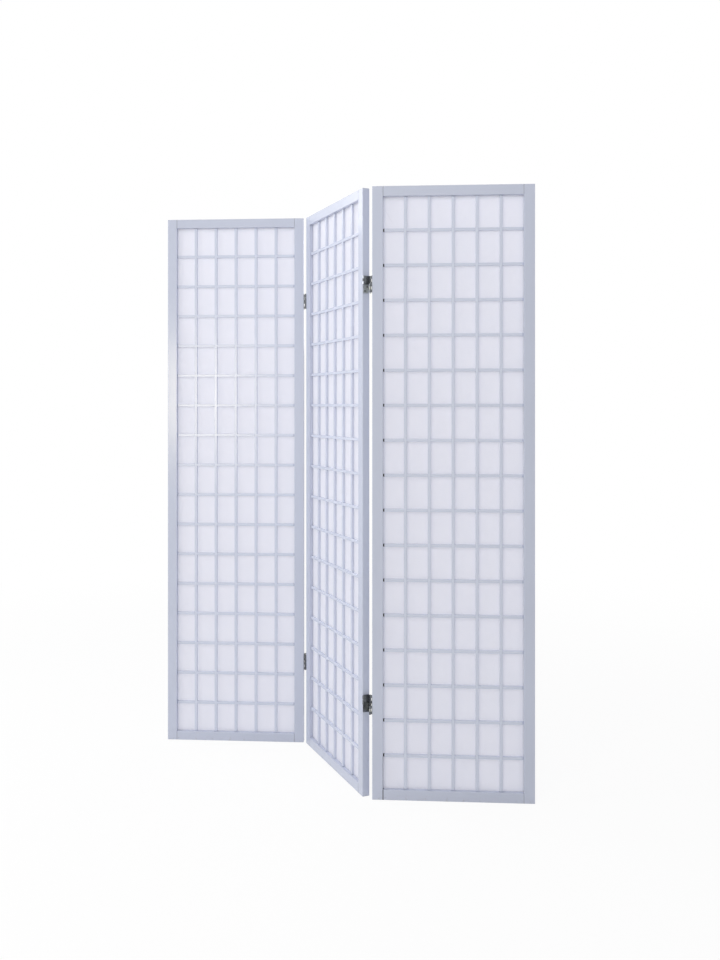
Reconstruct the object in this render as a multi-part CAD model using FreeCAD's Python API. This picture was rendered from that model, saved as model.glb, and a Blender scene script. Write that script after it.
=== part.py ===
import FreeCAD, Part
import math
import os

from FreeCAD import Vector

# Shoji folding screen: three lattice panels joined by four two-way hinges.
# Millimetres, +Z up. The origin is on the floor under the centre of the middle panel.
# The two wings lie along X. The middle panel runs between them at the fold angle.
# The lattice side of the screen faces -Y.

# ---- Driving dimensions ----

# Panel frame
PANEL_HEIGHT = 1700.0
PANEL_WIDTH = 447.0
FRAME_DEPTH = 21.0
STILE_WIDTH = 30.0
RAIL_HEIGHT = 28.0
EDGE_ROUND = 1.0
FOLD_ANGLE = 62.5

# Lattice
COLUMNS = 6
ROWS = 17
BAR_WIDTH = 8.0
BAR_DEPTH = 7.0
BAR_RECESS = 5.0
BAR_ROUND = 0.6
LAP_CLEARANCE = 0.1
TENON_LENGTH = 5.5
UPRIGHT_SHOULDER = 1.5
LEVEL_SHOULDER = 3.6
NOTCH_CLEARANCE = 0.5

# Paper and the beads that hold it from behind
REBATE_WIDTH = 6.0
PAPER_THICKNESS = 0.4
PAPER_CLEARANCE = 0.5
BEAD_CLEARANCE = 0.3
BEAD_SETBACK = 0.5
BEAD_ROUND = 0.6

# Panel pins that hold the beads
BRAD_RADIUS = 0.5
BRAD_BITE = 4.5
BRAD_HEAD_RADIUS = 1.0
BRAD_HEAD_HEIGHT = 0.4
BRAD_CELL_STEP = 3

# Corner dowels
DOWEL_RADIUS = 3.0
DOWEL_LENGTH = 30.0
DOWEL_SPACING = 11.0
DOWEL_END_CLEARANCE = 1.0

# Two-way hinges
HINGE_HEIGHT = 48.0
HINGE_TOP_INSET = 270.0
HINGE_BOTTOM_INSET = 260.0
LEAF_THICKNESS = 1.2
KNUCKLE_RADIUS = 2.6
AXIS_OFFSET = 6.0
FACE_OFFSET = 0.3
KNUCKLE_GAP = 0.2
HALF_GAP = 0.4
LINK_PLATE_GAP = 0.4
PIN_RADIUS = 1.3
PIN_RUNNING_CLEARANCE = 0.06
PIN_HEAD_RADIUS = 1.8
PIN_HEAD_HEIGHT = 0.5

# Hinge screws
SCREW_RADIUS = 1.5
SCREW_LENGTH = 15.0
SCREW_TIP = 3.0
SCREW_HEAD_RADIUS = 2.7
SCREW_SLOT_LENGTH = 3.8
SCREW_SLOT_WIDTH = 0.6
SCREW_SLOT_DEPTH = 0.5
SCREW_STAGGER = 3.5
SCREWS_PER_LEAF = 4

# Smallest length that counts as one
TOLERANCE = 1e-6

# ---- Sizes that follow ----

INNER_WIDTH = PANEL_WIDTH - 2 * STILE_WIDTH
INNER_HEIGHT = PANEL_HEIGHT - 2 * RAIL_HEIGHT
COLUMN_PITCH = (INNER_WIDTH + BAR_WIDTH) / COLUMNS
ROW_PITCH = (INNER_HEIGHT + BAR_WIDTH) / ROWS
LEDGE_Y = BAR_RECESS + BAR_DEPTH
LAP_Y = BAR_RECESS + BAR_DEPTH / 2
BEAD_FRONT_Y = LEDGE_Y + PAPER_THICKNESS
BEAD_BACK_Y = FRAME_DEPTH - BEAD_SETBACK
BRAD_LENGTH = BEAD_BACK_Y - LEDGE_Y + BRAD_BITE
REBATE_X = STILE_WIDTH - REBATE_WIDTH
REBATE_Z = RAIL_HEIGHT - REBATE_WIDTH
NOTCH_LENGTH = TENON_LENGTH + NOTCH_CLEARANCE
DOWEL_Y = LEDGE_Y - DOWEL_RADIUS - LAP_CLEARANCE
FRONT_AXIS_Y = -FACE_OFFSET
BACK_AXIS_Y = FRAME_DEPTH + FACE_OFFSET
PLATE_EDGE_Y = FRONT_AXIS_Y + KNUCKLE_RADIUS - LEAF_THICKNESS
UPPER = 1
LOWER = -1
HINGE_LEVELS = {
    "upper": PANEL_HEIGHT - HINGE_TOP_INSET,
    "lower": HINGE_BOTTOM_INSET,
}


# ---- Shapes used by several pieces ----

def block(x0, x1, y0, y1, z0, z1):
    """Box between two opposite corners."""
    return Part.makeBox(x1 - x0, y1 - y0, z1 - z0, Vector(x0, y0, z0))


def mirrored_x(shape, x):
    """Mirror image across the upright plane at x."""
    return shape.mirror(Vector(x, 0, 0), Vector(1, 0, 0))


def mirrored_y(shape, y):
    """Mirror image across the upright plane at y."""
    return shape.mirror(Vector(0, y, 0), Vector(0, 1, 0))


def mirrored_z(shape, z):
    """Mirror image across the level plane at z."""
    return shape.mirror(Vector(0, 0, z), Vector(0, 0, 1))


def edges_along(shape, direction):
    """The straight edges of a box that run along one direction."""
    found = []
    for edge in shape.Edges:
        run = edge.lastVertex().Point - edge.firstVertex().Point
        if run.cross(direction).Length < TOLERANCE:
            found.append(edge)
    return found


def bar_x(column):
    """Centre of an upright bar, counted from 1 at the left."""
    return STILE_WIDTH + column * COLUMN_PITCH - BAR_WIDTH / 2


def bar_z(row):
    """Centre of a level bar, counted from 1 at the bottom."""
    return RAIL_HEIGHT + row * ROW_PITCH - BAR_WIDTH / 2


def cell_x(column):
    """Middle of a lattice cell, counted from 0 at the left."""
    return STILE_WIDTH + column * COLUMN_PITCH + (COLUMN_PITCH - BAR_WIDTH) / 2


def cell_z(row):
    """Middle of a lattice cell, counted from 0 at the bottom."""
    return RAIL_HEIGHT + row * ROW_PITCH + (ROW_PITCH - BAR_WIDTH) / 2


# ---- Fasteners of a panel, in the panel's own frame ----
# A panel's own frame has x across its width, y from its front face to its back and z up.

def dowels(extra=0.0):
    """Two dowels in each corner, each longer by extra at both ends."""
    length = DOWEL_LENGTH + 2 * extra
    made = []
    for side_x in (STILE_WIDTH, PANEL_WIDTH - STILE_WIDTH):
        start_x = side_x - length / 2
        for offset in (-DOWEL_SPACING / 2, DOWEL_SPACING / 2):
            low_z = (REBATE_Z + LAP_CLEARANCE) / 2 + offset
            for z in (low_z, PANEL_HEIGHT - low_z):
                start = Vector(start_x, DOWEL_Y, z)
                made.append(Part.makeCylinder(DOWEL_RADIUS, length, start, Vector(1, 0, 0)))
    return made


def brad(x, z):
    """One panel pin, driven forwards through a bead."""
    forwards = Vector(0, -1, 0)
    start = Vector(x, BEAD_BACK_Y + BRAD_HEAD_HEIGHT, z)
    head = Part.makeCylinder(BRAD_HEAD_RADIUS, BRAD_HEAD_HEIGHT, start, forwards)
    shank = Part.makeCylinder(BRAD_RADIUS, BRAD_LENGTH + BRAD_HEAD_HEIGHT, start, forwards)
    return head.fuse(shank).removeSplitter()


def side_brads():
    """The pins of the left bead."""
    x = (REBATE_X + BEAD_CLEARANCE + STILE_WIDTH) / 2
    return [brad(x, cell_z(row)) for row in range(1, ROWS, BRAD_CELL_STEP)]


def end_brads():
    """The pins of the bottom bead."""
    z = (REBATE_Z + BEAD_CLEARANCE + RAIL_HEIGHT) / 2
    return [brad(cell_x(column), z) for column in range(1, COLUMNS, BRAD_CELL_STEP)]


def brads():
    """Every panel pin of a panel."""
    sides = side_brads()
    ends = end_brads()
    sides += [mirrored_x(pin, PANEL_WIDTH / 2) for pin in sides]
    ends += [mirrored_z(pin, PANEL_HEIGHT / 2) for pin in ends]
    return sides + ends


# ---- Frame members ----

def stile():
    """Left stile: eased edges, rebate behind, notches for the level bars, dowel holes."""
    body = block(0, STILE_WIDTH, 0, FRAME_DEPTH, 0, PANEL_HEIGHT)
    body = body.makeFillet(EDGE_ROUND, body.Edges)
    cuts = [block(REBATE_X, STILE_WIDTH, LEDGE_Y, FRAME_DEPTH, REBATE_Z, PANEL_HEIGHT - REBATE_Z)]
    half_notch = BAR_WIDTH / 2 + NOTCH_CLEARANCE
    for row in range(1, ROWS):
        z = bar_z(row)
        cuts.append(block(STILE_WIDTH - NOTCH_LENGTH, STILE_WIDTH, LAP_Y - LAP_CLEARANCE, LEDGE_Y,
                          z - half_notch, z + half_notch))
    cuts += dowels(DOWEL_END_CLEARANCE)
    cuts += side_brads()
    return body.cut(cuts)


def rail():
    """Bottom rail: eased edges, rebate behind, notches for the upright bars, dowel holes."""
    right_x = PANEL_WIDTH - STILE_WIDTH
    body = block(STILE_WIDTH, right_x, 0, FRAME_DEPTH, 0, RAIL_HEIGHT)
    body = body.makeFillet(EDGE_ROUND, edges_along(body, Vector(1, 0, 0)))
    cuts = [block(STILE_WIDTH, right_x, LEDGE_Y, FRAME_DEPTH, REBATE_Z, RAIL_HEIGHT)]
    half_notch = BAR_WIDTH / 2 + NOTCH_CLEARANCE
    for column in range(1, COLUMNS):
        x = bar_x(column)
        cuts.append(block(x - half_notch, x + half_notch, LAP_Y - LAP_CLEARANCE, LEDGE_Y,
                          RAIL_HEIGHT - NOTCH_LENGTH, RAIL_HEIGHT))
    cuts += dowels(DOWEL_END_CLEARANCE)
    cuts += end_brads()
    return body.cut(cuts)


# ---- Lattice ----

def eased_bar(x0, x1, z0, z1, direction):
    """A lattice bar's full section with its two front edges eased."""
    bar = block(x0, x1, BAR_RECESS, LEDGE_Y, z0, z1)
    front = [edge for edge in edges_along(bar, direction) if edge.CenterOfMass.y < LAP_Y]
    return bar.makeFillet(BAR_ROUND, front)


def upright_bar(column):
    """Upright bar: laps over each level bar and has a thin tenon at each end."""
    x0 = bar_x(column) - BAR_WIDTH / 2
    x1 = bar_x(column) + BAR_WIDTH / 2
    shoulder_z = RAIL_HEIGHT + UPRIGHT_SHOULDER
    bar = eased_bar(x0, x1, shoulder_z, PANEL_HEIGHT - shoulder_z, Vector(0, 0, 1))
    tenon_z = RAIL_HEIGHT - TENON_LENGTH
    bar = bar.fuse(block(x0, x1, LAP_Y, LEDGE_Y, tenon_z, PANEL_HEIGHT - tenon_z))
    half_lap = BAR_WIDTH / 2 + LAP_CLEARANCE
    laps = []
    for row in range(1, ROWS):
        z = bar_z(row)
        laps.append(block(x0, x1, LAP_Y, LEDGE_Y, z - half_lap, z + half_lap))
    return bar.cut(laps).removeSplitter()


def level_bar(row):
    """Level bar: passes behind each upright bar and has a thin tenon at each end."""
    z0 = bar_z(row) - BAR_WIDTH / 2
    z1 = bar_z(row) + BAR_WIDTH / 2
    shoulder_x = STILE_WIDTH + LEVEL_SHOULDER
    bar = eased_bar(shoulder_x, PANEL_WIDTH - shoulder_x, z0, z1, Vector(1, 0, 0))
    tenon_x = STILE_WIDTH - TENON_LENGTH
    bar = bar.fuse(block(tenon_x, PANEL_WIDTH - tenon_x, LAP_Y, LEDGE_Y, z0, z1))
    half_lap = BAR_WIDTH / 2 + LAP_CLEARANCE
    laps = []
    for column in range(1, COLUMNS):
        x = bar_x(column)
        laps.append(block(x - half_lap, x + half_lap, BAR_RECESS, LAP_Y, z0, z1))
    return bar.cut(laps).removeSplitter()


# ---- Paper and beads ----

def eased_bead(x0, x1, z0, z1, direction):
    """A bead's full section with its two back edges eased."""
    bead = block(x0, x1, BEAD_FRONT_Y, BEAD_BACK_Y, z0, z1)
    back = [edge for edge in edges_along(bead, direction) if edge.CenterOfMass.y > BEAD_BACK_Y - TOLERANCE]
    return bead.makeFillet(BEAD_ROUND, back)


def paper():
    """One sheet that reaches to the walls of the rebate, pierced by the panel pins."""
    x0 = REBATE_X + PAPER_CLEARANCE
    z0 = REBATE_Z + PAPER_CLEARANCE
    sheet = block(x0, PANEL_WIDTH - x0, LEDGE_Y, BEAD_FRONT_Y, z0, PANEL_HEIGHT - z0)
    return sheet.cut(brads())


def side_bead():
    """Left bead, which runs the rebate's full height."""
    z0 = REBATE_Z + BEAD_CLEARANCE
    bead = eased_bead(REBATE_X + BEAD_CLEARANCE, STILE_WIDTH, z0, PANEL_HEIGHT - z0, Vector(0, 0, 1))
    return bead.cut(side_brads())


def end_bead():
    """Bottom bead, which fits between the side beads."""
    x0 = STILE_WIDTH + BEAD_CLEARANCE
    bead = eased_bead(x0, PANEL_WIDTH - x0, REBATE_Z + BEAD_CLEARANCE, RAIL_HEIGHT, Vector(1, 0, 0))
    return bead.cut(end_brads())


# ---- Two-way hinge, in the frame of the edge that carries it ----
# The edge's face is the plane x = 0 and faces +x. y runs from the panel's front to its back.
# z = 0 is the middle of the hinge. A front and a back axis both stand at x = AXIS_OFFSET.
# In each half of the height a leaf has its knuckles on one axis and the link joins both axes.

def spans(half):
    """Heights of the three knuckles of one half: the two outer ones and the middle one."""
    low = HALF_GAP / 2
    high = HINGE_HEIGHT / 2
    third = (high - low) / 3
    outer = [(low, low + third - KNUCKLE_GAP / 2), (high - third + KNUCKLE_GAP / 2, high)]
    middle = (low + third + KNUCKLE_GAP / 2, high - third - KNUCKLE_GAP / 2)
    if half == LOWER:
        outer = [(-top, -bottom) for bottom, top in outer]
        middle = (-middle[1], -middle[0])
    return outer, middle


def barrel(axis_y, span, radius):
    """Upright cylinder on one of the two axes."""
    return Part.makeCylinder(radius, span[1] - span[0], Vector(AXIS_OFFSET, axis_y, span[0]))


def front_knuckles(half):
    """A leaf's two straps, turned up at right angles and rolled round the front axis."""
    made = []
    for span in spans(half)[0]:
        strap = block(0, AXIS_OFFSET, PLATE_EDGE_Y, PLATE_EDGE_Y + LEAF_THICKNESS, *span)
        knuckle = strap.fuse(barrel(FRONT_AXIS_Y, span, KNUCKLE_RADIUS))
        made.append(knuckle.cut(barrel(FRONT_AXIS_Y, span, PIN_RADIUS)))
    return made


def screw_places():
    """Screws evenly spaced up a leaf, staggered across its width."""
    places = []
    for index in range(SCREWS_PER_LEAF):
        z = HINGE_HEIGHT * ((index + 0.5) / SCREWS_PER_LEAF - 0.5)
        stagger = SCREW_STAGGER if index % 2 else -SCREW_STAGGER
        places.append((FRAME_DEPTH / 2 + stagger, z))
    return places


def screw(y, z):
    """Countersunk wood screw, driven into the edge, with a cross slot."""
    inwards = Vector(-1, 0, 0)
    top = Vector(LEAF_THICKNESS, y, z)
    head = Part.makeCone(SCREW_HEAD_RADIUS, SCREW_RADIUS, LEAF_THICKNESS, top, inwards)
    straight = SCREW_LENGTH - LEAF_THICKNESS - SCREW_TIP
    shank = Part.makeCylinder(SCREW_RADIUS, straight, Vector(0, y, z), inwards)
    tip = Part.makeCone(SCREW_RADIUS, 0, SCREW_TIP, Vector(-straight, y, z), inwards)
    return head.fuse([shank, tip]).removeSplitter()


def slotted_screw(y, z):
    """The screw with its cross slot cut."""
    reach = SCREW_SLOT_LENGTH / 2
    half = SCREW_SLOT_WIDTH / 2
    low_x = LEAF_THICKNESS - SCREW_SLOT_DEPTH
    slots = [block(low_x, LEAF_THICKNESS, y - reach, y + reach, z - half, z + half),
             block(low_x, LEAF_THICKNESS, y - half, y + half, z - reach, z + reach)]
    return screw(y, z).cut(slots)


def screw_set():
    """The solid screws of one leaf, without slots, as cut from the wood and the leaf."""
    return [screw(y, z) for y, z in screw_places()]


def leaf(front_half):
    """Leaf with its front knuckles in one half and its back knuckles in the other."""
    plate = block(0, LEAF_THICKNESS, PLATE_EDGE_Y, FRAME_DEPTH - PLATE_EDGE_Y,
                  -HINGE_HEIGHT / 2, HINGE_HEIGHT / 2)
    knuckles = front_knuckles(front_half)
    knuckles += [mirrored_y(one, FRAME_DEPTH / 2) for one in front_knuckles(-front_half)]
    return plate.fuse(knuckles).cut(screw_set()).removeSplitter()


def link(half, open_axis=None):
    """Link plate of one half. Its knuckle on an open axis is closed by its own riveted pin."""
    outer, middle = spans(half)
    low = min(outer[0][0], outer[1][0])
    high = max(outer[0][1], outer[1][1])
    x0 = AXIS_OFFSET - LEAF_THICKNESS / 2
    x1 = AXIS_OFFSET + LEAF_THICKNESS / 2
    reach = KNUCKLE_RADIUS + LINK_PLATE_GAP
    body = block(x0, x1, FRONT_AXIS_Y + reach, BACK_AXIS_Y - reach, low, high)
    body = body.fuse(block(x0, x1, FRONT_AXIS_Y, BACK_AXIS_Y, *middle))
    body = body.fuse([barrel(y, middle, KNUCKLE_RADIUS) for y in (FRONT_AXIS_Y, BACK_AXIS_Y)])
    for axis_y in (FRONT_AXIS_Y, BACK_AXIS_Y):
        if axis_y != open_axis:
            body = body.cut(barrel(axis_y, middle, PIN_RADIUS + PIN_RUNNING_CLEARANCE))
    return body.removeSplitter()


def hinge_pin(axis_y, half):
    """Pin through the three knuckles of one half, with a flat head at its outer end."""
    outer, middle = spans(half)
    low = min(outer[0][0], outer[1][0])
    high = max(outer[0][1], outer[1][1])
    shank = barrel(axis_y, (low, high), PIN_RADIUS)
    head_span = (high, high + PIN_HEAD_HEIGHT)
    if half == LOWER:
        head_span = (low - PIN_HEAD_HEIGHT, low)
    return shank.fuse(barrel(axis_y, head_span, PIN_HEAD_RADIUS)).removeSplitter()


def pin_stubs(axis_y, half):
    """The open pivot's pin, cut to the leaf's two knuckles so that the link can leave it."""
    return [barrel(axis_y, span, PIN_RADIUS) for span in spans(half)[0]]


# ---- Where things stand ----

def on_edge(shape, edge, z):
    """Carry a hinge piece to a panel's left or right edge, at height z."""
    if edge == "left":
        placed = mirrored_x(shape, 0)
    else:
        placed = shape.translated(Vector(PANEL_WIDTH, 0, 0))
    return placed.translated(Vector(0, 0, z))


def placement(angle, local_point, world_point):
    """Turn by angle about Z, then bring a panel's own point to a point of the screen."""
    turn = FreeCAD.Rotation(Vector(0, 0, 1), angle)
    return FreeCAD.Placement(world_point - turn.multVec(local_point), turn)


def panel_placements():
    """The middle panel's centre is the origin. Each wing hangs on the axis it is folded about."""
    middle = placement(-FOLD_ANGLE, Vector(PANEL_WIDTH / 2, FRAME_DEPTH / 2, 0), Vector(0, 0, 0))
    left_axis = middle.multVec(Vector(-AXIS_OFFSET, FRONT_AXIS_Y, 0))
    right_axis = middle.multVec(Vector(PANEL_WIDTH + AXIS_OFFSET, BACK_AXIS_Y, 0))
    left = placement(0, Vector(PANEL_WIDTH + AXIS_OFFSET, FRONT_AXIS_Y, 0), left_axis)
    right = placement(0, Vector(-AXIS_OFFSET, BACK_AXIS_Y, 0), right_axis)
    return {"left": left, "middle": middle, "right": right}


# ---- Assembly ----

# Which edges of a panel carry hinges.
HINGED_EDGES = {"left": ["right"], "middle": ["left", "right"], "right": ["left"]}

# The half of the height in which a panel's leaves have their front knuckles.
FRONT_HALF = {"left": LOWER, "middle": UPPER, "right": LOWER}

# The pivot of each wing that is left open, as its axis and half.
OPEN_PIVOT = {"left": (FRONT_AXIS_Y, LOWER), "right": (BACK_AXIS_Y, UPPER)}

# The pivot of each wing that has its whole pin.
CLOSED_PIVOT = {"left": (BACK_AXIS_Y, UPPER), "right": (FRONT_AXIS_Y, LOWER)}


def frame_nodes(panel):
    """Stiles and rails, with holes for the hinge screws in the hinged edges."""
    left = stile()
    stiles = {"left": left, "right": mirrored_x(left, PANEL_WIDTH / 2)}
    for edge in HINGED_EDGES[panel]:
        for z in HINGE_LEVELS.values():
            stiles[edge] = stiles[edge].cut([on_edge(one, edge, z) for one in screw_set()])
    bottom = rail()
    return {
        "left_stile": [stiles["left"]],
        "right_stile": [stiles["right"]],
        "bottom_rail": [bottom],
        "top_rail": [mirrored_z(bottom, PANEL_HEIGHT / 2)],
        "corner_dowels": dowels(),
    }


def infill_nodes():
    """Lattice, paper, beads and panel pins."""
    side = side_bead()
    end = end_bead()
    return {
        "upright_bars": [upright_bar(column) for column in range(1, COLUMNS)],
        "level_bars": [level_bar(row) for row in range(1, ROWS)],
        "paper": [paper()],
        "side_beads": [side, mirrored_x(side, PANEL_WIDTH / 2)],
        "end_beads": [end, mirrored_z(end, PANEL_HEIGHT / 2)],
        "bead_pins": brads(),
    }


def panel_hinge_nodes(panel):
    """Leaves, screws and pins that are fixed to one panel."""
    nodes = {}
    screws = []
    pins = []
    for edge in HINGED_EDGES[panel]:
        wing = edge if panel == "middle" else panel
        owner = "middle" if panel == "middle" else "wing"
        if panel == "middle":
            edge_pins = [hinge_pin(FRONT_AXIS_Y, UPPER), hinge_pin(BACK_AXIS_Y, LOWER)]
        else:
            edge_pins = [hinge_pin(*CLOSED_PIVOT[wing])] + pin_stubs(*OPEN_PIVOT[wing])
        for level, z in HINGE_LEVELS.items():
            name = wing + "_" + level + "_hinge_" + owner + "_leaf"
            nodes[name] = [on_edge(leaf(FRONT_HALF[panel]), edge, z)]
            screws += [on_edge(slotted_screw(*place), edge, z) for place in screw_places()]
            pins += [on_edge(pin, edge, z) for pin in edge_pins]
    nodes[panel + "_panel_hinge_screws"] = screws
    nodes[panel + "_panel_hinge_pins"] = pins
    return nodes


def link_nodes(places):
    """Links as they lie at rest: beside the wing they turn with, or beside the middle panel."""
    nodes = {}
    # The left wing is folded about its front axis and the right wing about its back axis.
    lying = {
        ("left", "upper"): ("left", "right", UPPER, None),
        ("left", "lower"): ("middle", "left", LOWER, FRONT_AXIS_Y),
        ("right", "upper"): ("middle", "right", UPPER, BACK_AXIS_Y),
        ("right", "lower"): ("right", "left", LOWER, None),
    }
    for (wing, which), (panel, edge, half, open_axis) in lying.items():
        for level, z in HINGE_LEVELS.items():
            name = wing + "_" + level + "_hinge_" + which + "_link"
            placed = on_edge(link(half, open_axis), edge, z)
            nodes[name] = [placed.transformed(places[panel].toMatrix())]
    return nodes


def all_nodes():
    """Every node of the screen, each a list of solids in place."""
    places = panel_placements()
    nodes = {}
    infill = infill_nodes()
    for panel, place in places.items():
        local = {}
        for name, solids in list(frame_nodes(panel).items()) + list(infill.items()):
            local[panel + "_panel_" + name] = solids
        local.update(panel_hinge_nodes(panel))
        for name, solids in local.items():
            nodes[name] = [solid.transformed(place.toMatrix()) for solid in solids]
    nodes.update(link_nodes(places))
    return nodes


os.makedirs("parts", exist_ok=True)
for node_name, node_solids in all_nodes().items():
    node_shape = node_solids[0] if len(node_solids) == 1 else Part.makeCompound(node_solids)
    node_shape.exportStep("parts/" + node_name + ".step")
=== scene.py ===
import math
import random

import bpy
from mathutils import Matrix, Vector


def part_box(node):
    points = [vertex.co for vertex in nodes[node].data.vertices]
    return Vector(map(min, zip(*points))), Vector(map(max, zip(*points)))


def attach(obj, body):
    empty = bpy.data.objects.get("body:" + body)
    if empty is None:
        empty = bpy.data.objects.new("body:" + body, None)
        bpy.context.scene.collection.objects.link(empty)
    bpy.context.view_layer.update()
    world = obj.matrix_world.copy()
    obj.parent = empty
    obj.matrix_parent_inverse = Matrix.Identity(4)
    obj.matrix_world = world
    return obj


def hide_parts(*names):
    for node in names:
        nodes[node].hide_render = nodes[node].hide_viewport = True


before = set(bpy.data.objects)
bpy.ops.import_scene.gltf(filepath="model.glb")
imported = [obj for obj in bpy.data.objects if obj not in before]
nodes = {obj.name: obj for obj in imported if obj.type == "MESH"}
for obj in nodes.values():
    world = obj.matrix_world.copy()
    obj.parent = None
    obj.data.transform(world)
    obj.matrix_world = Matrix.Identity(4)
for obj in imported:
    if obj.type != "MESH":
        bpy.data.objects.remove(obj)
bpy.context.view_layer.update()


# ---- Stiles and rails ----
# Planed softwood laths, four to a panel. The rails are butted between the stiles and dowelled, then the
# whole frame is sprayed with a cool white gloss lacquer that lets a little of the grain show in relief.

# Lengths are in metres. In a panel's own frame x runs across it, y from its lattice face to its back
# and z up, and its front left foot is the start of all three.
FOLD_ANGLE = 62.5
PANEL_TURNS = {"left": 0.0, "middle": math.radians(-FOLD_ANGLE), "right": 0.0}
PANEL_BODIES = {"left": "left_wing", "middle": "middle_panel", "right": "right_wing"}
PANEL_WIDTH = 0.447
PANEL_HEIGHT = 1.7
FRAME_DEPTH = 0.021
STILE_WIDTH = 0.030
RAIL_HEIGHT = 0.028

LACQUER = (0.530, 0.568, 0.695, 1.0)
LACQUER_THIN = (0.492, 0.528, 0.644, 1.0)
SCUFF_GREY = (0.36, 0.37, 0.40, 1.0)
JOINT_SHADE = (0.26, 0.28, 0.33, 1.0)
# Painted shade for an opened joint.
GAP_SHADE = (0.035, 0.035, 0.040, 1.0)
LACQUER_IOR = 1.47
GRAIN_ALONG = 6.0
GRAIN_ACROSS = 420.0
SCUFFS_FULL_Z = 0.004
SCUFFS_END_Z = 0.022
LEFT_JOINT_X = 0.0302
LEFT_JOINT_WIDTH = 0.0018
RIGHT_JOINT_X = 0.4168
RIGHT_JOINT_WIDTH = 0.0014
JOINT_BLUR = 0.0005
GAP_SHADE_WIDTH = 0.0024
EDGE_SHADE_WIDTH = 0.0020
EDGE_SHADE_FADE_Z = 0.116
EDGE_SHADE_END_Z = 0.122
SCUFF_STRENGTH = 0.5
JOINT_STRENGTH = 0.75
EDGE_SHADE_STRENGTH = 0.55


def panel_foot(panel):
    """The front left foot of a panel, from the box of its left stile."""
    low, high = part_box(panel + "_panel_left_stile")
    return low[0], high[1] - FRAME_DEPTH * math.cos(PANEL_TURNS[panel]), 0.0


PANEL_FEET = {panel: panel_foot(panel) for panel in PANEL_BODIES}


class Signal:
    """A socket of a material's nodes. A sum on it adds the Math nodes that work it out."""

    def __init__(self, tree, socket):
        self.tree = tree
        self.socket = socket

    def node(self, kind, settings=None, inputs=None, output=0):
        """Add a node: first its settings, then a value or a link for each socket named."""
        made = self.tree.nodes.new(kind)
        for name, value in (settings or {}).items():
            setattr(made, name, value)
        for name, value in (inputs or {}).items():
            if isinstance(value, Signal):
                self.tree.links.new(value.socket, made.inputs[name])
            else:
                made.inputs[name].default_value = value
        return Signal(self.tree, made.outputs[output])

    def maths(self, operation, *terms):
        """A Math node on these numbers, in their order."""
        return self.node("ShaderNodeMath", {"operation": operation}, dict(enumerate(terms)))

    def __add__(self, other):
        return self.maths("ADD", self, other)

    def __sub__(self, other):
        return self.maths("SUBTRACT", self, other)

    def __rsub__(self, other):
        return self.maths("SUBTRACT", other, self)

    def __mul__(self, other):
        return self.maths("MULTIPLY", self, other)

    __radd__ = __add__
    __rmul__ = __mul__

    def scaled(self, x, y, z):
        """The same place with each direction stretched by its own number."""
        return self.node("ShaderNodeVectorMath", {"operation": "MULTIPLY"}, {0: self, 1: (x, y, z)})

    def parts(self):
        """The three numbers of a place."""
        return [self.node("ShaderNodeSeparateXYZ", inputs={0: self}, output=axis) for axis in range(3)]

    def noise(self, scale=1.0, detail=2.0, roughness=0.5):
        """A cloudy pattern from 0 to 1 at this place."""
        return self.node("ShaderNodeTexNoise", inputs={"Vector": self, "Scale": scale,
                                                       "Detail": detail, "Roughness": roughness})

    def rise(self, low, high):
        """0 below low, 1 above high and a smooth slope between."""
        return self.node("ShaderNodeMapRange", {"interpolation_type": "SMOOTHSTEP"},
                         {"Value": self, "From Min": low, "From Max": high})

    def mixed(self, first, second):
        """Two colours mixed, with this number as the share of the second."""
        return self.node("ShaderNodeMix", {"data_type": "RGBA"}, {0: self, 6: first, 7: second}, output=2)

    def size(self):
        """The number without its sign."""
        return self.maths("ABSOLUTE", self)

    def near(self, where, width):
        """1 within half of width of a value, and 0 a little further off."""
        return 1 - (self - where).size().rise(width * 0.35, width * 0.65)

    def or_more(self, other):
        """The larger of this number and another."""
        return self.maths("MAXIMUM", self, other)

    def between(self, low, high, blur):
        """1 from low to high and 0 outside, with a slope of blur to each side of both."""
        return self.rise(low - blur, low + blur) * (1 - self.rise(high - blur, high + blur))

    def relief(self, strength, depth, under=None):
        """A bumped surface normal from this height."""
        inputs = {"Height": self, "Strength": strength, "Distance": depth}
        if under is not None:
            inputs["Normal"] = under
        return self.node("ShaderNodeBump", inputs=inputs)


def new_material(name):
    """A material with only its output, and the object's own coordinates to start from."""
    material = bpy.data.materials.new(name)
    material.use_nodes = True
    tree = material.node_tree
    tree.nodes.clear()
    output = tree.nodes.new("ShaderNodeOutputMaterial")
    place = Signal(tree, tree.nodes.new("ShaderNodeTexCoord").outputs["Object"])
    return material, output, place


def panel_place(place, panel):
    """Turn the screen's coordinates into a panel's own, in metres."""
    return place.node("ShaderNodeMapping", {"vector_type": "TEXTURE"},
                      {"Vector": place, "Location": PANEL_FEET[panel],
                       "Rotation": (0.0, 0.0, PANEL_TURNS[panel])})


def grain_place(own, along, slow, fast):
    """A place drawn out along x or z, so that a noise there looks like grain."""
    return own.scaled(slow, fast, fast) if along == "x" else own.scaled(fast, fast, slow)


def finish_with(place, output, **sockets):
    """A Principled surface whose sockets are given by name, with spaces written as underscores."""
    named = {name.replace("_", " "): value for name, value in sockets.items()}
    surface = place.node("ShaderNodeBsdfPrincipled", inputs=named)
    place.tree.links.new(surface.socket, output.inputs["Surface"])


def dress(node_name, material):
    """Give a node of the frame one material."""
    slots = nodes[node_name].data.materials
    slots.clear()
    slots.append(material)


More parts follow.
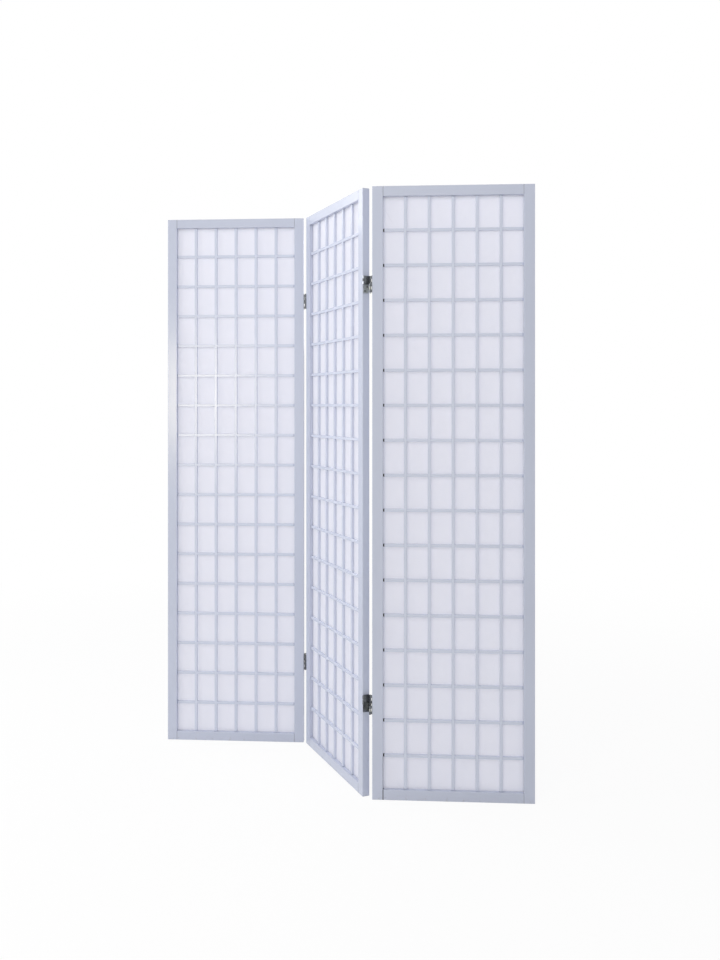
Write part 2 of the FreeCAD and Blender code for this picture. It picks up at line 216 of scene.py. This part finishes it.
def lacquered_wood(name, panel, along):
    """Lacquer over wood whose grain runs along x or z of its panel."""
    material, output, place = new_material(name)
    own = panel_place(place, panel)
    x, _, z = own.parts()
    grain = grain_place(own, along, GRAIN_ALONG, GRAIN_ACROSS).noise(detail=3.0, roughness=0.55)
    clouds = own.noise(scale=5.0, detail=2.0)
    peel = own.noise(scale=650.0, detail=1.0)
    at_the_foot = 1 - z.rise(SCUFFS_FULL_Z, SCUFFS_END_Z)
    scuffs = own.noise(scale=90.0, detail=4.0, roughness=0.65).rise(0.56, 0.70) * at_the_foot
    thin = grain.rise(0.52, 0.74) * 0.35 + clouds.rise(0.35, 0.75) * 0.35
    by_the_rails = 1 - z.between(RAIL_HEIGHT, PANEL_HEIGHT - RAIL_HEIGHT, JOINT_BLUR)
    joints = x.near(LEFT_JOINT_X, LEFT_JOINT_WIDTH) + x.near(RIGHT_JOINT_X, RIGHT_JOINT_WIDTH)
    joints = joints * by_the_rails
    colour = (scuffs * SCUFF_STRENGTH).mixed(thin.mixed(LACQUER, LACQUER_THIN), SCUFF_GREY)
    colour = (joints * JOINT_STRENGTH).mixed(colour, JOINT_SHADE)
    if panel == "right":
        # This panel's lower left joint has opened by a hair. The opening is painted dark as shade, and
        # painted shade runs on up the stile's inner edge along the lowest pane.
        above_rail = z.rise(RAIL_HEIGHT - JOINT_BLUR, RAIL_HEIGHT + JOINT_BLUR)
        gap_shade = x.near(STILE_WIDTH, GAP_SHADE_WIDTH) * (1 - above_rail)
        edge_shade = x.near(STILE_WIDTH, EDGE_SHADE_WIDTH) * above_rail
        edge_shade = edge_shade * (1 - z.rise(EDGE_SHADE_FADE_Z, EDGE_SHADE_END_Z))
        colour = gap_shade.mixed(colour, GAP_SHADE)
        colour = (edge_shade * EDGE_SHADE_STRENGTH).mixed(colour, GAP_SHADE)
    bumped = peel.relief(strength=0.10, depth=0.00003, under=grain.relief(strength=0.22, depth=0.00006))
    finish_with(place, output, Base_Color=colour, Roughness=clouds * 0.10 + grain * 0.06 + 0.13,
                IOR=LACQUER_IOR, Normal=bumped)
    return material


for panel in PANEL_BODIES:
    stile_paint = lacquered_wood(panel + "_stile_lacquer", panel, "z")
    rail_paint = lacquered_wood(panel + "_rail_lacquer", panel, "x")
    dress(panel + "_panel_left_stile", stile_paint)
    dress(panel + "_panel_right_stile", stile_paint)
    dress(panel + "_panel_top_rail", rail_paint)
    dress(panel + "_panel_bottom_rail", rail_paint)


# ---- Dowels in the corners ----
# Plain beech dowels, glued into the stiles and rails. They are out of sight once the frame is closed.

BEECH = (0.50, 0.34, 0.20, 1.0)
BEECH_DARK = (0.36, 0.22, 0.12, 1.0)


def beech(name, panel):
    """Plain beech with its short dark flecks."""
    material, output, place = new_material(name)
    own = panel_place(place, panel)
    grain = grain_place(own, "x", 40.0, 900.0).noise(detail=3.0)
    finish_with(place, output, Base_Color=grain.rise(0.4, 0.7).mixed(BEECH, BEECH_DARK),
                Roughness=grain * 0.2 + 0.5, Normal=grain.relief(strength=0.3, depth=0.0001))
    return material


for panel in PANEL_BODIES:
    dress(panel + "_panel_corner_dowels", beech(panel + "_beech", panel))


# ---- Lattice ----
# Thin pine bars, halved where they cross, with the upright bars in front. They are lacquered before they
# are put in, each in its own pass of the spray, so the tone changes a little from bar to bar.

BAR_LACQUER = (0.605, 0.646, 0.775, 1.0)
BAR_LACQUER_THIN = (0.553, 0.592, 0.712, 1.0)
# Bare tenon wood darkened to near black with painted shade.
SHADED_BARE_TENON = (0.050, 0.046, 0.045, 1.0)
BAR_GRAIN_ALONG = 9.0
BAR_GRAIN_ACROSS = 500.0
TONE_STEP = 1.7
TONE_DRIFT = 0.4
TENON_SHOULDER_X = 0.0336
SHOULDER_BLUR = 0.0001
COLUMN_PITCH = 0.0658
ROW_PITCH = 0.0972


def lacquered_bar(name, panel, along):
    """Lacquer over a lattice bar that runs along x or z of its panel."""
    material, output, place = new_material(name)
    own = panel_place(place, panel)
    if along == "x":
        tone_place = own.scaled(TONE_DRIFT, 0.0, TONE_STEP / ROW_PITCH)
    else:
        tone_place = own.scaled(TONE_STEP / COLUMN_PITCH, 0.0, TONE_DRIFT)
    each_bar = tone_place.noise(detail=1.0)
    grain = grain_place(own, along, BAR_GRAIN_ALONG, BAR_GRAIN_ACROSS).noise(detail=3.0, roughness=0.55)
    peel = own.noise(scale=800.0, detail=1.0)
    thin = each_bar.rise(0.25, 0.75) * 0.6 + grain.rise(0.5, 0.75) * 0.3
    bumped = peel.relief(strength=0.10, depth=0.00003, under=grain.relief(strength=0.25, depth=0.00006))
    colour = thin.mixed(BAR_LACQUER, BAR_LACQUER_THIN)
    if panel == "right" and along == "x":
        # The left shoulders of this panel's level bars stand short. The bare tenons there are painted
        # near black, with the shade of the gap painted in.
        x = own.parts()[0]
        past_shoulder = x.rise(TENON_SHOULDER_X - SHOULDER_BLUR, TENON_SHOULDER_X + SHOULDER_BLUR)
        colour = past_shoulder.mixed(SHADED_BARE_TENON, colour)
    finish_with(place, output, Base_Color=colour,
                Roughness=each_bar * 0.12 + grain * 0.06 + 0.14, IOR=LACQUER_IOR, Normal=bumped)
    return material


for panel in PANEL_BODIES:
    dress(panel + "_panel_upright_bars", lacquered_bar(panel + "_upright_bar_lacquer", panel, "z"))
    dress(panel + "_panel_level_bars", lacquered_bar(panel + "_level_bar_lacquer", panel, "x"))


# ---- Paper ----
# One sheet of white fibre paper behind each lattice, drawn tight in its rebate. Between the bars it
# stands back by a hair where damp and handling have slackened it.

PAPER_WIDTH = 0.398
PAPER_LENGTH = 1.655
PAPER_EDGE_X = (PANEL_WIDTH - PAPER_WIDTH) / 2
PAPER_EDGE_Z = (PANEL_HEIGHT - PAPER_LENGTH) / 2
PAPER_FRONT_Y = 0.01203
PAPER_THICKNESS = 0.00022
PAPER_STEPS_X = 48
PAPER_STEPS_Z = 153
FIRST_CELL_X = 0.026
FIRST_CELL_Z = 0.024
CELL_COLUMNS = 7
CELL_ROWS = 18
SLACK_DEPTH = 0.0009
SLACK_LEAST = 0.35
SLACK_WAVE = 0.25
WAVES_X = 7.0
WAVES_Z = 3.0
CELL_FLATNESS = 1.5
HELD_WIDTH = 0.006
HELD_FADE = 0.008
PAPER_WHITE = (0.850, 0.865, 0.915, 1.0)
PAPER_CLOUD = (0.830, 0.850, 0.905, 1.0)
PAPER_THROUGH = (0.850, 0.850, 0.905, 1.0)
PAPER_FIBRE = (0.90, 0.91, 0.94, 1.0)
# Painted shade along the paper's crease.
PAPER_CREASE_SHADE = (0.62, 0.62, 0.68, 1.0)
PAPER_IOR = 1.40
THROUGH_SHARE = 0.60
FIBRE_BEND = 0.02
FIBRE_STRENGTH = 0.5
CREASE_SHADE_STRENGTH = 0.30
CREASE_TOP = (0.03378, 1.63889)
CREASE_FOOT = (0.05624, 1.59931)
CREASE_WIDTH = 0.0026
CREASE_TOP_FADE = 0.0035
CREASE_FOOT_FADE = 0.005


def slack(x, z, lean, seed):
    """How far back the paper stands at a place of its panel."""
    across = (x - FIRST_CELL_X) / COLUMN_PITCH
    up = (z - FIRST_CELL_Z) / ROW_PITCH
    bulge_x = min(1.0, CELL_FLATNESS * abs(math.sin(math.pi * across)))
    bulge_z = min(1.0, CELL_FLATNESS * abs(math.sin(math.pi * up)))
    share = SLACK_LEAST + (1 - SLACK_LEAST) * seed[int(up) % CELL_ROWS][int(across) % CELL_COLUMNS]
    wave = SLACK_WAVE * math.sin(WAVES_X * x + WAVES_Z * z + lean) + 1 - SLACK_WAVE
    edge = min(x - PAPER_EDGE_X, PANEL_WIDTH - PAPER_EDGE_X - x,
               z - PAPER_EDGE_Z, PANEL_HEIGHT - PAPER_EDGE_Z - z)
    loose = min(1.0, max(0.0, (edge - HELD_WIDTH) / HELD_FADE))
    return SLACK_DEPTH * share * wave * loose * bulge_x * bulge_z


def paper_sheet(name, panel, lean):
    """The sheet as a fine grid, pushed back between the bars and given its thickness."""
    bpy.ops.object.select_all(action="DESELECT")
    bpy.ops.mesh.primitive_grid_add(x_subdivisions=PAPER_STEPS_X, y_subdivisions=PAPER_STEPS_Z, size=1.0,
                                    rotation=(math.pi / 2, 0.0, 0.0))
    sheet = bpy.context.object
    sheet.name = name
    sheet.data.name = name
    sheet.scale = (PAPER_WIDTH, PAPER_LENGTH, 1.0)
    sheet.location = (PANEL_WIDTH / 2, PAPER_FRONT_Y, PANEL_HEIGHT / 2)
    bpy.ops.object.transform_apply(location=True, rotation=True, scale=True)
    dice = random.Random(lean)
    seed = [[dice.random() for _ in range(CELL_COLUMNS)] for _ in range(CELL_ROWS)]
    for vertex in sheet.data.vertices:
        vertex.co.y += slack(vertex.co.x, vertex.co.z, lean, seed)
    thickness = sheet.modifiers.new("thickness", "SOLIDIFY")
    thickness.thickness = PAPER_THICKNESS
    thickness.offset = -1.0
    bpy.ops.object.modifier_apply(modifier="thickness")
    sheet.rotation_euler = (0.0, 0.0, PANEL_TURNS[panel])
    sheet.location = PANEL_FEET[panel]
    bpy.ops.object.transform_apply(location=True, rotation=True, scale=True)
    bpy.ops.object.shade_smooth_by_angle(angle=math.radians(40))
    return sheet


def crease(own):
    """1 along the short crease that crosses the right panel's top left pane."""
    x, _, z = own.parts()
    run_x = CREASE_FOOT[0] - CREASE_TOP[0]
    run_z = CREASE_FOOT[1] - CREASE_TOP[1]
    length = math.hypot(run_x, run_z)
    from_top_x = x - CREASE_TOP[0]
    from_top_z = z - CREASE_TOP[1]
    across = from_top_z * (run_x / length) - from_top_x * (run_z / length)
    along = from_top_x * (run_x / length) + from_top_z * (run_z / length)
    begun = along.rise(-CREASE_TOP_FADE, CREASE_TOP_FADE)
    ended = along.rise(length - CREASE_FOOT_FADE, length + CREASE_FOOT_FADE)
    return across.near(0.0, CREASE_WIDTH) * begun * (1 - ended)


def fibre_paper(name, panel):
    """Lets more light through than it returns, with long pale fibres and faint clouds."""
    material, output, place = new_material(name)
    own = panel_place(place, panel)
    clouds = own.noise(scale=28.0, detail=4.0, roughness=0.6)
    bend = own.noise(scale=14.0, detail=1.0) * FIBRE_BEND
    bent = own.node("ShaderNodeVectorMath", {"operation": "ADD"}, {0: own, 1: bend})
    fibres = bent.scaled(260.0, 1.0, 38.0).noise(detail=2.0, roughness=0.7).rise(0.62, 0.72)
    cloudy = clouds.rise(0.3, 0.7).mixed(PAPER_WHITE, PAPER_CLOUD)
    colour = (fibres * FIBRE_STRENGTH).mixed(cloudy, PAPER_FIBRE)
    height = clouds * 0.6 + fibres * 0.5
    if panel == "right":
        # The crease is pressed in as a dent and darkened along its line with painted shade.
        crease_shade_and_dent = crease(own)
        colour = (crease_shade_and_dent * CREASE_SHADE_STRENGTH).mixed(colour, PAPER_CREASE_SHADE)
        height = height - crease_shade_and_dent * 1.5
    bumped = height.relief(strength=0.12, depth=0.00008)
    front = place.node("ShaderNodeBsdfPrincipled",
                       inputs={"Base Color": colour, "Roughness": clouds * 0.15 + 0.50, "IOR": PAPER_IOR,
                               "Normal": bumped})
    through = place.node("ShaderNodeBsdfTranslucent", inputs={"Color": PAPER_THROUGH})
    both = place.node("ShaderNodeMixShader", inputs={0: THROUGH_SHARE, 1: front, 2: through})
    place.tree.links.new(both.socket, output.inputs["Surface"])
    return material


for panel, lean in (("left", 1), ("middle", 2), ("right", 3)):
    sheet = paper_sheet(panel + "_paper_sheet", panel, lean)
    sheet.data.materials.append(fibre_paper(panel + "_fibre_paper", panel))
    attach(sheet, PANEL_BODIES[panel])
    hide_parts(panel + "_panel_paper")


# ---- Beads and their pins ----
# Square strips of the same wood, pressed over the paper's edge from behind and held by thin steel panel
# pins with small flat heads. The beads are brushed white by hand and left a little duller.

BEAD_WHITE = (0.560, 0.585, 0.660, 1.0)
BEAD_WOOD = (0.500, 0.490, 0.495, 1.0)
BEAD_GRAIN_ALONG = 7.0
BEAD_GRAIN_ACROSS = 380.0
END_BEAD_TOP_Z = 0.0281
BEAD_BLUR = 0.0001
PIN_STEEL = (0.50, 0.50, 0.52, 1.0)
PIN_DULL = (0.28, 0.27, 0.27, 1.0)


def brushed_bead(name, panel):
    """Thin white paint with the wood's grain just showing along the strip."""
    material, output, place = new_material(name)
    own = panel_place(place, panel)
    upright = grain_place(own, "z", BEAD_GRAIN_ALONG, BEAD_GRAIN_ACROSS).noise(detail=3.0, roughness=0.6)
    level = grain_place(own, "x", BEAD_GRAIN_ALONG, BEAD_GRAIN_ACROSS).noise(detail=3.0, roughness=0.6)
    z = own.parts()[2]
    in_the_ends = 1 - z.between(END_BEAD_TOP_Z, PANEL_HEIGHT - END_BEAD_TOP_Z, BEAD_BLUR)
    grain = upright * (1 - in_the_ends) + level * in_the_ends
    finish_with(place, output, Base_Color=(grain.rise(0.5, 0.75) * 0.5).mixed(BEAD_WHITE, BEAD_WOOD),
                Roughness=grain * 0.15 + 0.36, Normal=grain.relief(strength=0.35, depth=0.0001))
    return material


def pin_steel(name):
    """Bright drawn steel, dulled in spots."""
    material, output, place = new_material(name)
    spots = place.noise(scale=900.0, detail=3.0)
    finish_with(place, output, Base_Color=spots.rise(0.45, 0.7).mixed(PIN_STEEL, PIN_DULL),
                Roughness=spots * 0.25 + 0.22, Metallic=1.0,
                Normal=spots.relief(strength=0.2, depth=0.00005))
    return material


bright_pin = pin_steel("panel_pin_steel")
for panel in PANEL_BODIES:
    bead_paint = brushed_bead(panel + "_bead_paint", panel)
    dress(panel + "_panel_side_beads", bead_paint)
    dress(panel + "_panel_end_beads", bead_paint)
    dress(panel + "_panel_bead_pins", bright_pin)


# ---- Two-way hinges ----
# Pressed steel leaves, links and pins, nickel plated and rolled to bright knuckles, held to the stiles'
# edges by countersunk cross-slot screws.

# One nickel plating in copies of different brightness: a darker copy painted as shade and dark
# reflections, and paler copies painted as light.
SHADED_NICKEL = (0.175, 0.185, 0.200, 1.0)
SHADED_NICKEL_DARK = (0.075, 0.082, 0.095, 1.0)
LIT_NICKEL = (0.50, 0.53, 0.60, 1.0)
LIT_NICKEL_DARK = (0.36, 0.38, 0.44, 1.0)
LIT_LINK_NICKEL = (0.42, 0.43, 0.40, 1.0)
LIT_LINK_NICKEL_DARK = (0.22, 0.23, 0.21, 1.0)
PIN_NICKEL = (0.42, 0.42, 0.42, 1.0)
PIN_NICKEL_DARK = (0.12, 0.12, 0.13, 1.0)
SCREW_ZINC = (0.20, 0.20, 0.22, 1.0)
SCREW_TARNISH = (0.10, 0.10, 0.11, 1.0)


def plated_steel(name, bright, dark, smoothness):
    """Plated steel with faint rolling lines, cloudy tarnish and fine scratches."""
    material, output, place = new_material(name)
    tarnish = place.noise(scale=70.0, detail=3.0, roughness=0.5)
    rolled = place.scaled(60.0, 60.0, 2600.0).noise(detail=2.0)
    scratches = place.scaled(1400.0, 1400.0, 90.0).noise(detail=3.0, roughness=0.7).rise(0.60, 0.72)
    shade = tarnish.rise(0.42, 0.68) * 0.7 + scratches * 0.2
    bumped = (rolled * 0.5 + scratches * 0.5).relief(strength=0.25, depth=0.00003)
    finish_with(place, output, Base_Color=shade.mixed(bright, dark), Metallic=1.0,
                Roughness=tarnish * 0.22 + scratches * 0.12 + smoothness, Normal=bumped)
    return material


shaded_nickel = plated_steel("shaded_nickel", SHADED_NICKEL, SHADED_NICKEL_DARK, 0.16)
lit_nickel = plated_steel("lit_nickel", LIT_NICKEL, LIT_NICKEL_DARK, 0.20)
lit_link_nickel = plated_steel("lit_link_nickel", LIT_LINK_NICKEL, LIT_LINK_NICKEL_DARK, 0.14)
pin_nickel = plated_steel("hinge_pin_nickel", PIN_NICKEL, PIN_NICKEL_DARK, 0.10)
screw_zinc = plated_steel("screw_zinc", SCREW_ZINC, SCREW_TARNISH, 0.20)

# Every hinge leaf and link first takes the copy painted dark as shade.
for wing in ("left", "right"):
    for level in ("upper", "lower"):
        for part in ("middle_leaf", "wing_leaf", "upper_link", "lower_link"):
            dress(wing + "_" + level + "_hinge_" + part, shaded_nickel)
# On the right hinges the upper middle leaf and the lower links take the paler copies, painted lighter
# where they look lit.
dress("right_upper_hinge_middle_leaf", lit_nickel)
dress("right_upper_hinge_lower_link", lit_link_nickel)
dress("right_lower_hinge_lower_link", lit_link_nickel)
for panel in PANEL_BODIES:
    dress(panel + "_panel_hinge_pins", pin_nickel)
    dress(panel + "_panel_hinge_screws", screw_zinc)


# ---- Floor, light and camera ----
# A plain white floor that runs out of sight and keeps the screen's soft shadow, under a white room.

FLOOR_SIZE = 400.0
FLOOR_WHITE = (0.86, 0.86, 0.87, 1.0)
FLOOR_GLOW = 0.92
GLOW_NEAR = 1.0
GLOW_FAR = 3.5
ROOM_LIGHT = 0.50
ROOM_TINT = (0.97, 0.98, 1.0, 1.0)
PLAIN_WHITE = (1.0, 1.0, 1.0, 1.0)
LAMP_WARMTH = (1.0, 0.90, 0.66)


def seen_white(place):
    """1 for rays that see the background itself: the camera's, mirrored and transmitted ones."""
    seen, mirrored, let_through = [place.node("ShaderNodeLightPath", output=name)
                                   for name in ("Is Camera Ray", "Is Glossy Ray", "Is Transmission Ray")]
    return seen.or_more(mirrored.or_more(let_through))


bpy.ops.object.select_all(action="DESELECT")
bpy.ops.mesh.primitive_plane_add(size=FLOOR_SIZE)
floor = bpy.context.object
floor.name = "floor"
floor_paint, floor_output, floor_place = new_material("floor_white")
matt = floor_place.node("ShaderNodeBsdfDiffuse", inputs={"Color": FLOOR_WHITE})
glow = floor_place.node("ShaderNodeEmission", inputs={"Color": PLAIN_WHITE, "Strength": 1.0})
distance = floor_place.node("ShaderNodeVectorMath", {"operation": "LENGTH"}, {0: floor_place}, "Value")
glow_share = distance.rise(GLOW_NEAR, GLOW_FAR) * (1 - FLOOR_GLOW) + FLOOR_GLOW
floor_mix = floor_place.node("ShaderNodeMixShader",
                             inputs={0: seen_white(floor_place) * glow_share, 1: matt, 2: glow})
floor_place.tree.links.new(floor_mix.socket, floor_output.inputs["Surface"])
floor.data.materials.append(floor_paint)

room = bpy.data.worlds.new("white_room")
room.use_nodes = True
room.node_tree.nodes.clear()
room_output = room.node_tree.nodes.new("ShaderNodeOutputWorld")
room_start = Signal(room.node_tree, None)
lit = room_start.node("ShaderNodeBackground", inputs={"Color": ROOM_TINT, "Strength": ROOM_LIGHT})
white = room_start.node("ShaderNodeBackground", inputs={"Color": PLAIN_WHITE, "Strength": 1.0})
room_mix = room_start.node("ShaderNodeMixShader", inputs={0: seen_white(room_start), 1: lit, 2: white})
room.node_tree.links.new(room_mix.socket, room_output.inputs["Surface"])
bpy.context.scene.world = room


def soft_lamp(name, place, aim, width, height, power, colour=PLAIN_WHITE[:3]):
    """A rectangular lamp that faces a point."""
    data = bpy.data.lights.new(name, "AREA")
    data.shape = "RECTANGLE"
    data.size = width
    data.size_y = height
    data.energy = power
    data.color = colour
    lamp = bpy.data.objects.new(name, data)
    bpy.context.scene.collection.objects.link(lamp)
    lamp.location = place
    towards = [a - b for a, b in zip(aim, place)]
    flat = math.hypot(towards[0], towards[1])
    lamp.rotation_euler = (math.pi / 2 + math.atan2(towards[2], flat), 0.0,
                           math.atan2(towards[1], towards[0]) - math.pi / 2)


soft_lamp("side_lamp", (-2.6, -0.5, 2.0), (0.0, 0.0, 0.9), 1.4, 1.6, 25.5)
soft_lamp("top_lamp", (-0.1, -2.3, 2.9), (0.0, 0.0, 0.9), 2.0, 1.2, 19.0)
soft_lamp("back_lamp", (-2.2, 0.9, 2.4), (0.0, 0.0, 1.2), 1.2, 1.2, 17.0)
soft_lamp("far_lamp", (1.1, 2.8, 2.2), (0.0, 0.0, 0.9), 2.0, 1.6, 19.0)
# This one shines back from the left panel's lacquer.
soft_lamp("tall_lamp", (-1.08, -2.50, 1.15), (0.0, 0.0, 1.0), 0.50, 0.62, 14.2, LAMP_WARMTH)

CAMERA_PLACE = (0.2469, -2.7590, 1.0899)
CAMERA_TURN = math.radians(3.586)
CAMERA_LENS = 34.406
CAMERA_SHIFT = -0.07674
SENSOR_WIDTH = 36.0
view = bpy.data.cameras.new("camera")
view.lens = CAMERA_LENS
view.sensor_width = SENSOR_WIDTH
view.shift_y = CAMERA_SHIFT
camera = bpy.data.objects.new("camera", view)
bpy.context.scene.collection.objects.link(camera)
camera.location = CAMERA_PLACE
camera.rotation_euler = (math.pi / 2, 0.0, CAMERA_TURN)
bpy.context.scene.camera = camera
bpy.context.scene.view_settings.view_transform = "Standard"
